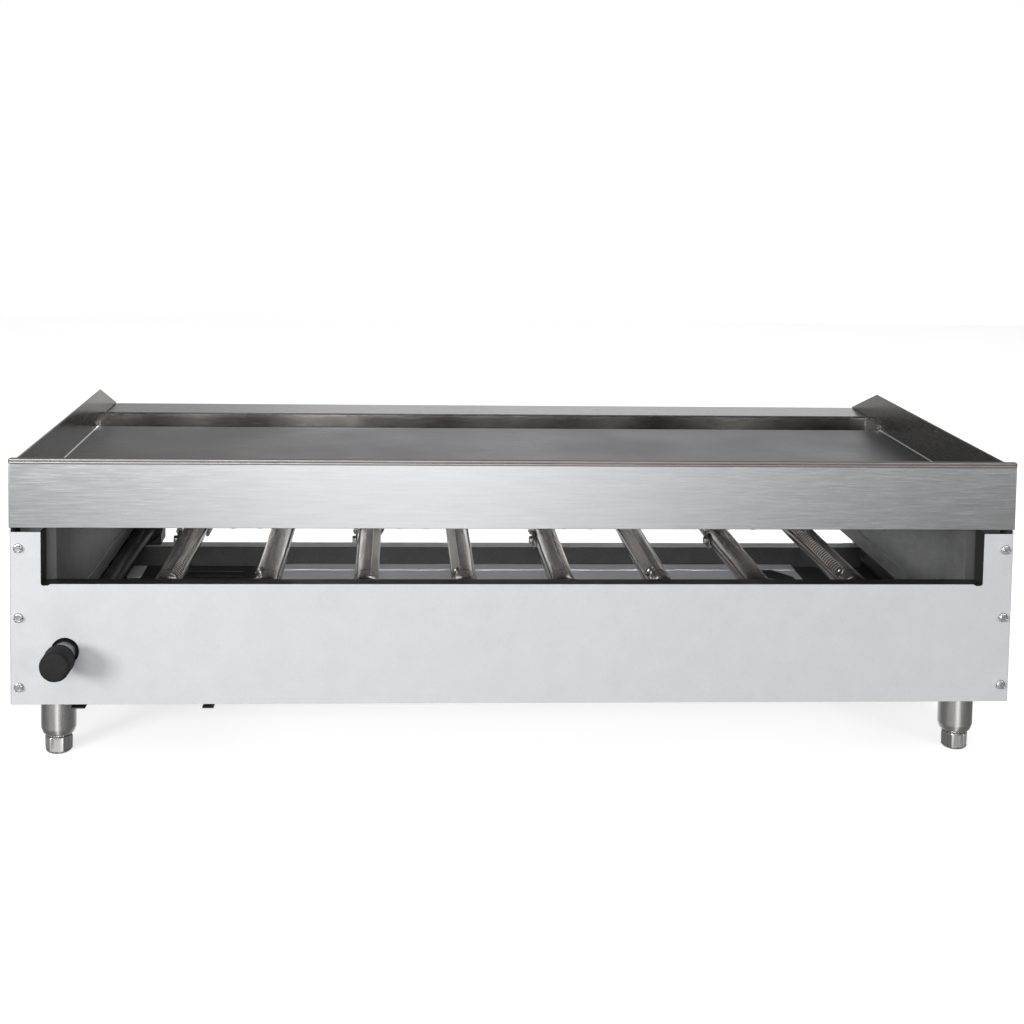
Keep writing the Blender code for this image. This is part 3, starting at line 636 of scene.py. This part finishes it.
def make_burner(number, x):
    left, right = x - HALF_U, x + HALF_U
    turn = [math.pi * k / 20.0 for k in range(11)]
    bend_y = y_at(CROSS_D + CORNER_R)
    path = [(left, y_at(d), BURNER_Z) for d in (HEADER_D + 0.004, 0.40, 0.30, 0.20, 0.11)]
    path += [(left + CORNER_R * (1.0 - math.cos(a)), bend_y + CORNER_R * math.sin(a), BURNER_Z)
             for a in turn]
    path += [(right - CORNER_R * (1.0 - math.cos(a)), bend_y + CORNER_R * math.sin(a), BURNER_Z)
             for a in reversed(turn)]
    path += [(right, y_at(d), BURNER_Z) for d in (0.11, 0.20, 0.30, 0.40, HEADER_D + 0.004)]
    bm = bmesh.new()
    add_tube(bm, path, TUBE_R, 40)
    # weld collars where the legs meet the header, and where each leg ends at its bend
    for leg in (left, right):
        add_turned(bm, (leg, y_at(0.0), BURNER_Z), (0, -1, 0),
                   [(HEADER_D - 0.0060, TUBE_R - 0.0002), (HEADER_D - 0.0045, TUBE_R + 0.0008),
                    (HEADER_D - 0.0010, TUBE_R + 0.0013), (HEADER_D + 0.0010, TUBE_R + 0.0013),
                    (HEADER_D + 0.0010, TUBE_R - 0.0010)], 40)
        add_turned(bm, (leg, y_at(0.0), BURNER_Z), (0, -1, 0),
                   [(0.0990, TUBE_R - 0.0003), (0.0995, TUBE_R + 0.0003), (0.1008, TUBE_R + 0.0003),
                    (0.1013, TUBE_R - 0.0003), (0.1013, TUBE_R - 0.0010)], 40)
    add_turned(bm, (x, y_at(0.0), BURNER_Z), (0, -1, 0),
               [(0.4900, 0.0), (0.4900, 0.0160), (0.4950, 0.0160), (0.4965, 0.0150), (0.5020, 0.0143),
                (0.5130, 0.0132), (0.5250, 0.0125), (0.5450, 0.0125), (0.5600, 0.0133),
                (0.5750, 0.0146), (0.5850, 0.0162), (0.5900, 0.0170), (0.6174, 0.0170),
                (0.6180, 0.0166), (0.6180, 0.0142), (0.6170, 0.0140), (0.5950, 0.0140),
                (0.5880, 0.0)], 48)
    body = piece(f"burner_tube_{number}", bm, ["burner"], smooth_angle=40)
    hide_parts(f"burner_{number}")

    bm = bmesh.new()
    half = HALF_U + 0.0195
    add_prism(bm, rounded([(x - half, HEADER_D), (x + half, HEADER_D), (x + half, 0.4950),
                           (x - half, 0.4950)], dict.fromkeys(range(4), 0.006), 6),
              "z", 0.1821, 0.2163)
    piece(f"burner_header_{number}", bm, ["burner"], bevel=0.0012)
    bm = bmesh.new()
    for offset in (-0.020, 0.020):
        add_turned(bm, (x + offset, y_at(0.4750), 0.0), (0, 0, 1),
                   [(0.1750, 0.0), (0.1750, 0.0046), (0.1756, 0.0055), (0.1830, 0.0055),
                    (0.1830, 0.0)], 36)
        add_turned(bm, (x + offset, y_at(0.4750), 0.0), (0, 0, 1),
                   [(0.2150, 0.0), (0.2150, 0.0058), (0.2178, 0.0058), (0.2182, 0.0048, "hex"),
                    (0.2206, 0.0048, "hex"), (0.2210, 0.0040), (0.2210, 0.0)], 36)
    piece(f"burner_studs_{number}", bm, ["screw"], smooth_angle=35)

    bm = bmesh.new()
    port_strip(bm, left, 1.0, STRIP_D)
    port_strip(bm, right, -1.0, STRIP_D - 0.030)
    piece(f"burner_ports_{number}", bm, ["port_rim", "port_dark"])
    bm = bmesh.new()
    for leg, inner in ((left, 1.0), (right, -1.0)):
        lean = Vector((inner * math.sin(math.radians(44.0)), 0.0, math.cos(math.radians(44.0))))
        near = [STRIP_D - 0.0065] if leg == left else []
        for depth in near + [HEADER_D - 0.0065]:
            base = Vector((leg, y_at(depth), BURNER_Z)) + lean * (TUBE_R - 0.0010)
            add_turned(bm, base, lean, [(0.0, 0.0), (0.0, 0.0066), (0.0022, 0.0064), (0.0028, 0.0056),
                                        (0.0024, 0.0044), (0.0012, 0.0038), (0.0012, 0.0)], 32)
    piece(f"burner_bosses_{number}", bm, ["burner"], smooth_angle=40)


def make_pilot(number, x):
    px = x + HALF_U + TUBE_R + 0.0010
    bm = bmesh.new()
    add_prism(bm, rounded([(0.3050, 0.1880), (0.3390, 0.1880), (0.3390, 0.2080), (0.3280, 0.2080),
                           (0.3160, 0.2060), (0.3050, 0.1980)],
                          {0: 0.002, 1: 0.002, 2: 0.003, 4: 0.003}, 4), "x", px, px + 0.0018)
    bracket = piece(f"pilot_bracket_{number}", bm, ["fitting"], bevel=0.0003)
    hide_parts(f"pilot_{number}")
    bm = bmesh.new()
    add_turned(bm, (px + 0.0010, y_at(0.3180), 0.1980), (1, 0, 0),
               [(0.0, 0.0), (0.0, 0.0064), (0.0014, 0.0064), (0.0016, 0.0052, "hex"),
                (0.0056, 0.0052, "hex"), (0.0060, 0.0044), (0.0060, 0.0)], 36)
    piece(f"pilot_bolt_{number}", bm, ["fitting"], smooth_angle=35)
    corner = [Vector((px + 0.0022, y_at(0.3340), 0.2050)), Vector((px + 0.0022, y_at(0.3660), 0.2050)),
              Vector((px + 0.0022, y_at(0.4000), 0.2500)), Vector((x, y_at(0.5100), 0.2500)),
              Vector((x, y_at(0.6540), 0.2500)), Vector((x, y_at(0.6540), 0.2154))]
    path = [corner[0]]
    for before, here, after in zip(corner, corner[1:], corner[2:]):
        reach = min(0.014, (here - before).length * 0.4, (after - here).length * 0.4)
        a = here + (before - here).normalized() * reach
        b = here + (after - here).normalized() * reach
        for k in range(9):
            t = k / 8.0
            path.append(a.lerp(here, t).lerp(here.lerp(b, t), t))
    path.append(corner[-1])
    bm = bmesh.new()
    add_tube(bm, path, 0.0025, 16)
    for end, away in ((corner[0], (0, -1, 0)), (corner[-1], (0, 0, 1))):
        add_turned(bm, end, away, [(0.0, 0.0), (0.0, 0.0046, "hex"), (0.0075, 0.0046, "hex"),
                                   (0.0085, 0.0036), (0.0085, 0.0)], 36)
    piece(f"pilot_tube_{number}", bm, ["fitting"], smooth_angle=35)
    # small steel tab hooked under the inner flank of the same leg, by the header
    leg = x + HALF_U
    bm = bmesh.new()
    add_prism(bm, [(leg - 0.0100, 0.1965), (leg - 0.0196, 0.1965), (leg - 0.0200, 0.1915),
                   (leg - 0.0142, 0.1812), (leg - 0.0110, 0.1812)], "d", 0.3990, 0.4010)
    piece(f"pilot_clip_{number}", bm, ["fitting"], bevel=0.0003)


def make_shutter(number, x):
    bm = bmesh.new()
    start = 0.5980
    add_turned(bm, (x, y_at(0.0), BURNER_Z), (0, -1, 0),
               [(start, 0.0174), (start, 0.0188), (start + 0.0008, 0.0190), (start + 0.0132, 0.0190),
                (start + 0.0140, 0.0188), (start + 0.0140, 0.0174)], 64)
    ring = piece(f"shutter_ring_{number}", bm, ["fitting"], body=f"shutter_body_{number}",
                 smooth_angle=35)
    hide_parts(f"air_shutter_{number}")
    bm = bmesh.new()
    add_box(bm, (x - 0.0030, x + 0.0030), (start + 0.004, start + 0.010),
            (BURNER_Z + 0.0182, BURNER_Z + 0.0270))
    piece(f"shutter_tab_{number}", bm, ["fitting"], body=f"shutter_body_{number}", bevel=0.0006)


# ------------------------------------------------------------ valves and knobs
def make_knob(number, x):
    bm = bmesh.new()
    body = f"knob_body_{number}"
    add_turned(bm, (x, y_at(0.0), BURNER_Z), (0, -1, 0),
               [(0.6620, 0.0), (0.6620, 0.0040), (0.6940, 0.0040), (0.6940, 0.0252), (0.6946, 0.0260),
                (0.6954, 0.0262), (0.6984, 0.0262), (0.6994, 0.0258), (0.7002, 0.0246),
                (0.7014, 0.0240), (0.7060, 0.0232), (0.7094, 0.0225), (0.7106, 0.0220),
                (0.7113, 0.0210), (0.7115, 0.0196), (0.7115, 0.0)], 96)
    skirt = piece(f"knob_skirt_{number}", bm, ["knob"], body=body, smooth_angle=40)
    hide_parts(f"knob_{number}")
    sections = []
    for depth, half_w, half_h in ((0.7050, 0.0062, 0.0212), (0.7115, 0.0060, 0.0210),
                                  (0.7210, 0.0054, 0.0206), (0.7265, 0.0050, 0.0202),
                                  (0.7276, 0.0045, 0.0198), (0.7280, 0.0038, 0.0190)):
        outline = rounded([(-half_w, -half_h), (half_w, -half_h), (half_w, half_h),
                           (-half_w, half_h)], dict.fromkeys(range(4), half_w * 0.8), 6)
        sections.append([(x + a, y_at(depth), BURNER_Z + b) for a, b in outline])
    bm = bmesh.new()
    add_loft(bm, sections)
    piece(f"knob_grip_{number}", bm, ["knob"], body=body, smooth_angle=40)
    bm = bmesh.new()
    add_box(bm, (x - 0.0009, x + 0.0009), (0.7230, 0.7280), (BURNER_Z + 0.0060, BURNER_Z + 0.0185))
    piece(f"knob_mark_{number}", bm, ["mark"], body=body, bevel=0.0003)

    bm = bmesh.new()
    add_turned(bm, (x, y_at(0.0), BURNER_Z), (0, -1, 0),
               [(PANEL_D - 0.0004, 0.0225), (PANEL_D + 0.0018, 0.0229), (PANEL_D + 0.0026, 0.0240),
                (PANEL_D + 0.0030, 0.0256), (PANEL_D + 0.0026, 0.0272), (PANEL_D + 0.0014, 0.0286),
                (PANEL_D - 0.0004, 0.0292)], 96)
    piece(f"knob_bezel_{number}", bm, ["screw"], smooth_angle=60)
    paint(f"valve_{number}", "brass")
    soften_node(f"valve_{number}", 0.0008)


# -------------------------------------------------------------------- gas line
def make_gas_line():
    bm = bmesh.new()
    path = [(GAS_X, y_at(0.0100), GAS_Z), (GAS_X, y_at(0.6120), GAS_Z)]
    add_tube(bm, path, 0.01335, 48)
    add_turned(bm, (GAS_X, y_at(0.0), GAS_Z), (0, -1, 0),
               [(0.0104, 0.0), (0.0104, 0.0160), (0.0112, 0.0166), (0.0290, 0.0166), (0.0298, 0.0160),
                (0.0302, 0.0)], 48)
    add_turned(bm, (GAS_X, y_at(0.0), GAS_Z), (0, -1, 0),
               [(0.6080, 0.0), (0.6080, 0.0190), (0.6095, 0.0208), (0.6120, 0.0215), (0.6150, 0.0225),
                (0.6170, 0.0245), (0.6640, 0.0245), (0.6665, 0.0238), (0.6680, 0.0215),
                (0.6680, 0.0)], 48)
    add_turned(bm, (GAS_X, y_at(0.6500), 0.0), (0, 0, 1),
               [(GAS_Z, 0.0), (GAS_Z, 0.0170), (0.1860, 0.0170), (0.1880, 0.0178), (0.1980, 0.0178),
                (0.2000, 0.0170), (0.2010, 0.0155), (0.2010, 0.0)], 48)
    add_prism(bm, rounded([(0.5230, 0.1110), (0.5690, 0.1110), (0.5690, 0.1600), (0.5230, 0.1600)],
                          {0: 0.003, 1: 0.003, 2: 0.006, 3: 0.006}, 5), "d", 0.6200, 0.6660)
    pipe = piece("supply_pipe", bm, ["pipe"], smooth_angle=40)
    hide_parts("gas_supply_pipe")

    profile = [(-0.0500, 0.0108), (-0.0500, 0.0118), (-0.0490, 0.0126)]
    for turn in range(9):
        at = -0.0480 + turn * 0.0019
        profile += [(at, 0.0122), (at + 0.00045, 0.0129), (at + 0.0007, 0.0130), (at + 0.0014, 0.0124)]
    profile += [(-0.0300, 0.0130), (0.0095, 0.0130), (0.0095, 0.0108)]
    bm = bmesh.new()
    add_turned(bm, (GAS_X, y_at(0.0), GAS_Z), (0, -1, 0), profile, 64)
    nipple = piece("pipe_nipple", bm, ["nipple"], smooth_angle=50)
    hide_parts("inlet_nipple")

    bm = bmesh.new()
    add_turned(bm, (GAS_X, y_at(0.0), GAS_Z), (0, -1, 0),
               [(-0.0600, 0.0), (-0.0600, 0.0128), (-0.0599, 0.0145), (-0.0596, 0.0157),
                (-0.0590, 0.0167), (-0.0581, 0.0174), (-0.0568, 0.0178), (-0.0550, 0.0179),
                (-0.0320, 0.0179), (-0.0316, 0.0184), (-0.0306, 0.0184), (-0.0300, 0.0179),
                (-0.0300, 0.0136), (-0.0505, 0.0136), (-0.0505, 0.0)], 96)
    cap = piece("push_on_cap", bm, ["cap"], body="cap_body", smooth_angle=45)
    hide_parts("inlet_cap")
    paint("gas_manifold", "pipe")
    soften_node("gas_manifold", 0.0010)


# ------------------------------------------------------------- legs and screws
def make_legs():
    for number, (x, depth) in enumerate(LEGS, 1):
        at = (x, y_at(depth), 0.0)
        bm = bmesh.new()
        add_turned(bm, at, (0, 0, 1),
                   [(0.0767, 0.0), (0.0767, 0.0210), (0.0764, 0.02135), (0.0325, 0.02135),
                    (0.0310, 0.0212), (0.0298, 0.0208), (0.0282, 0.0202), (0.0262, 0.0196),
                    (0.0245, 0.0188), (0.0234, 0.0178), (0.0225, 0.0165), (0.0218, 0.0155),
                    (0.0214, 0.0145), (0.0214, 0.0070), (0.0620, 0.0070), (0.0620, 0.0)], 96)
        leg = piece(f"leg_tube_{number}", bm, ["leg"], smooth_angle=40)
        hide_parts(f"leg_{number}")
        bm = bmesh.new()
        add_turned(bm, at, (0, 0, 1),
                   [(0.0000, 0.0), (0.0000, 0.0138), (0.0006, 0.0146), (0.0026, 0.0158),
                    (0.0032, 0.0166, "hex"), (0.0184, 0.0169, "hex"), (0.0196, 0.0158),
                    (0.0206, 0.0146), (0.0206, 0.0065), (0.0550, 0.0065), (0.0560, 0.0050),
                    (0.0560, 0.0)], 96)
        foot = piece(f"foot_bullet_{number}", bm, ["leg"], body=f"foot_body_{number}",
                     smooth_angle=28)
        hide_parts(f"foot_{number}")


def make_screws():
    places = [(x, z) for x in (-SCREW_X, SCREW_X) for z in SCREW_Z]
    for number, (x, z) in enumerate(places, 1):
        bm = bmesh.new()
        add_turned(bm, (x, y_at(0.0), z), (0, -1, 0),
                   [(-0.0050, 0.0), (-0.0050, 0.0030), (-0.0062, 0.0034), (-0.0062, 0.0038),
                    (-0.0057, 0.0046, "hex"), (-0.0020, 0.0046, "hex"), (-0.0018, 0.0050),
                    (-0.0012, 0.0056), (-0.0008, 0.0058), (-0.0003, 0.0058), (-0.0003, 0.0020),
                    (0.0080, 0.0020), (0.0080, 0.0)], 48)
        screw = piece(f"hex_screw_{number}", bm, ["screw"], smooth_angle=28)
        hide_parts(f"screw_{number}")


# -------------------------------------------------------------- light and floor
def make_floor():
    """A white floor that the camera sees and that takes the griddle's shadow."""
    bm = bmesh.new()
    count = 12
    side = 9.0
    grid = [[bm.verts.new((side * (i / count - 0.5), side * (j / count - 0.5), -0.0006))
             for j in range(count + 1)] for i in range(count + 1)]
    for i in range(count):
        for j in range(count):
            bm.faces.new((grid[i][j], grid[i + 1][j], grid[i + 1][j + 1], grid[i][j + 1]))
    mesh = bpy.data.meshes.new("floor")
    bm.to_mesh(mesh)
    bm.free()
    floor = bpy.data.objects.new("floor", mesh)
    bpy.context.scene.collection.objects.link(floor)
    mat, tree, shader = new_material("floor_white")
    shader.inputs["Base Color"].default_value = (0.5, 0.5, 0.5, 1.0)
    shader.inputs["Roughness"].default_value = 0.9
    shader.inputs["Emission Color"].default_value = (1.0, 1.0, 1.0, 1.0)
    shader.inputs["Emission Strength"].default_value = 0.72
    mesh.materials.append(mat)
    floor.visible_glossy = False
    floor.visible_diffuse = False
    floor.visible_transmission = False
    floor.visible_shadow = False


def lobe(tree, direction, toward, power, strength):
    """A soft patch of light in the sky, centred on one direction."""
    dot = tree.nodes.new("ShaderNodeVectorMath")
    dot.operation = "DOT_PRODUCT"
    tree.links.new(direction, dot.inputs[0])
    dot.inputs[1].default_value = Vector(toward).normalized()
    raised = calc(tree, "POWER", calc(tree, "MAXIMUM", dot.outputs["Value"], 0.0), power)
    return calc(tree, "MULTIPLY", raised, strength)


def make_sky():
    world = bpy.data.worlds.new("studio")
    bpy.context.scene.world = world
    world.use_nodes = True
    tree = world.node_tree
    tree.nodes.clear()
    where = tree.nodes.new("ShaderNodeTexCoord")
    direction = where.outputs["Generated"]
    flat = tree.nodes.new("ShaderNodeVectorMath")
    flat.operation = "MULTIPLY"
    flat.inputs[1].default_value = (1.0, 1.0, 0.0)
    tree.links.new(direction, flat.inputs[0])
    level = tree.nodes.new("ShaderNodeVectorMath")
    level.operation = "NORMALIZE"
    tree.links.new(flat.outputs["Vector"], level.inputs[0])
    apart = tree.nodes.new("ShaderNodeSeparateXYZ")
    tree.links.new(direction, apart.inputs["Vector"])
    card = spread(tree, apart.outputs["X"], 0.06, 0.13, 1.0, 0.30)
    total = calc(tree, "MULTIPLY", lobe(tree, direction, *FRONT_CARD), card)
    total = calc(tree, "ADD", total, SKY_BASE)
    for toward, power, strength in SKY_PATCHES:
        total = calc(tree, "ADD", total, lobe(tree, direction, toward, power, strength))
    for toward, power, strength in SKY_BARS:
        total = calc(tree, "ADD", total, lobe(tree, level.outputs["Vector"], toward, power, strength))
    lit = tree.nodes.new("ShaderNodeBackground")
    lit.inputs["Color"].default_value = (1.0, 1.0, 1.0, 1.0)
    tree.links.new(total, lit.inputs["Strength"])
    seen = tree.nodes.new("ShaderNodeBackground")
    seen.inputs["Color"].default_value = (1.0, 1.0, 1.0, 1.0)
    seen.inputs["Strength"].default_value = 1.0
    ray = tree.nodes.new("ShaderNodeLightPath")
    mixer = tree.nodes.new("ShaderNodeMixShader")
    tree.links.new(ray.outputs["Is Camera Ray"], mixer.inputs["Fac"])
    tree.links.new(lit.outputs["Background"], mixer.inputs[1])
    tree.links.new(seen.outputs["Background"], mixer.inputs[2])
    out = tree.nodes.new("ShaderNodeOutputWorld")
    tree.links.new(mixer.outputs["Shader"], out.inputs["Surface"])


def area_light(name, place, aim, size, power):
    data = bpy.data.lights.new(name, "AREA")
    data.shape = "RECTANGLE"
    data.size, data.size_y = size
    data.energy = power
    light = bpy.data.objects.new(name, data)
    light.location = place
    light.rotation_mode = "QUATERNION"
    light.rotation_quaternion = (Vector(aim) - Vector(place)).to_track_quat("-Z", "Y")
    bpy.context.scene.collection.objects.link(light)
    return light


# The sky only lights the griddle; the camera sees plain white. Patches are round, bars
# run from floor to zenith. Each is a direction, a tightness and a strength.
SKY_BASE = 0.14
FRONT_CARD = ((-0.15, -1.0, 0.24), 14.0, 0.44)     # ends short of the +X side, like a white card
SKY_PATCHES = (
    ((0.3, 1.0, 0.1), 2.0, 0.25),
    ((0.0, 0.2, 1.0), 3.0, 0.45),
    ((0.0, -1.0, -0.45), 5.0, 0.60),
)
SKY_BARS = (
    ((-0.01, 1.0, 0.0), 60.0, 1.15),
)


def make_light():
    make_sky()
    area_light("rear_middle", (0.50, 3.0, 0.95), (0.0, 0.30, 0.24), (1.4, 0.40), 29.0)
    area_light("rear_plus_x", (2.0, 2.5, 0.85), (0.0, 0.20, 0.22), (0.9, 0.60), 62.0)
    area_light("rear_minus_x", (-2.0, 2.5, 0.85), (0.0, 0.20, 0.22), (0.9, 0.60), 15.0)
    # stands in for the light that a studio bounces into the flue opening
    bay = area_light("bay", (0.0, y_at(0.0300), 0.2830), (0.0, y_at(0.5500), 0.0900),
                     (1.05, 0.05), 1.35)
    bay.data.spread = math.radians(50.0)
    bay.visible_camera = False
    high = area_light("front_high", (-1.3, -2.2, 2.7), (0.0, -0.3, 0.25), (1.6, 1.0), 45.0)
    high.visible_glossy = False


make_camera()
make_top()
make_cabinet()
for index, centre in enumerate(BURNERS):
    make_burner(index + 1, centre)
    make_pilot(index + 1, centre)
    make_shutter(index + 1, centre)
    make_knob(index + 1, centre)
make_gas_line()
make_legs()
make_screws()
make_floor()
make_light()
bpy.context.scene.view_settings.view_transform = "Standard"
